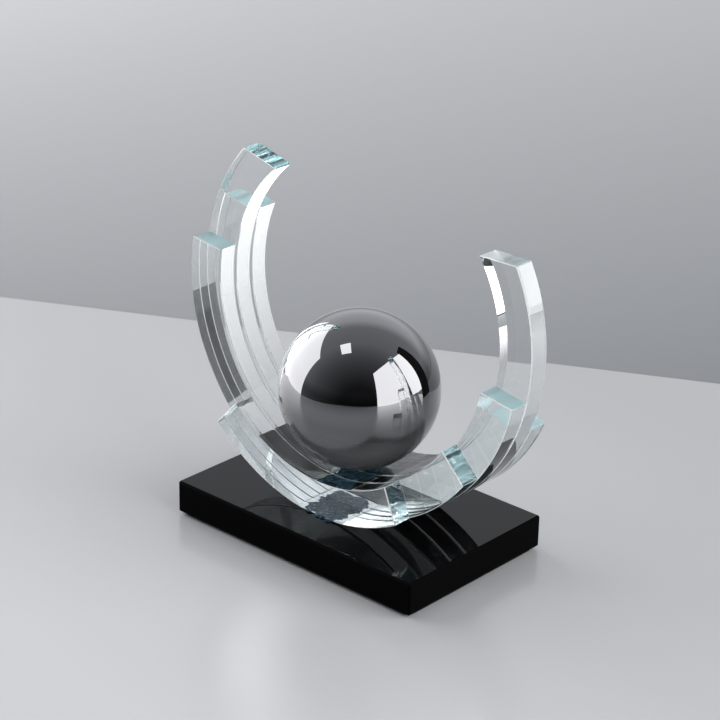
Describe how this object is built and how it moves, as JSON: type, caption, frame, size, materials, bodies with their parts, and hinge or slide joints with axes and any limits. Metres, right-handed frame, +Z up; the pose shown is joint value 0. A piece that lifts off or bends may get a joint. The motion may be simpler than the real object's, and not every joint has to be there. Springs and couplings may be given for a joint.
{
  "type": "desk ornament",
  "caption": "Desk ornament: staggered clear glass arcs, side by side on a black glass base, cradle a dark mirror ball at the bottom of their curve.",
  "frame": {"origin": "under the middle of the base, on the table that the pad rests on", "axes": "+X along the base's long side to the right seen from the front, +Y from the front arc to the rear arc, +Z up"},
  "size_m": [0.2, 0.0984, 0.1854],
  "materials": {
    "black_glass": "polished",
    "clear_glass": "polished",
    "mirror_coat": "polished",
    "adhesive": "gloss",
    "pad_foam": "matte"
  },
  "bodies": {
    "root": {"base_block": "black_glass", "base_pad": "pad_foam", "base_adhesive": "adhesive", "arc_front": "clear_glass", "arc_second": "clear_glass", "arc_middle": "clear_glass", "arc_fourth": "clear_glass", "arc_rear": "clear_glass", "mirror_ball": "mirror_coat", "ball_adhesive": "adhesive"}
  },
  "joints": []
}
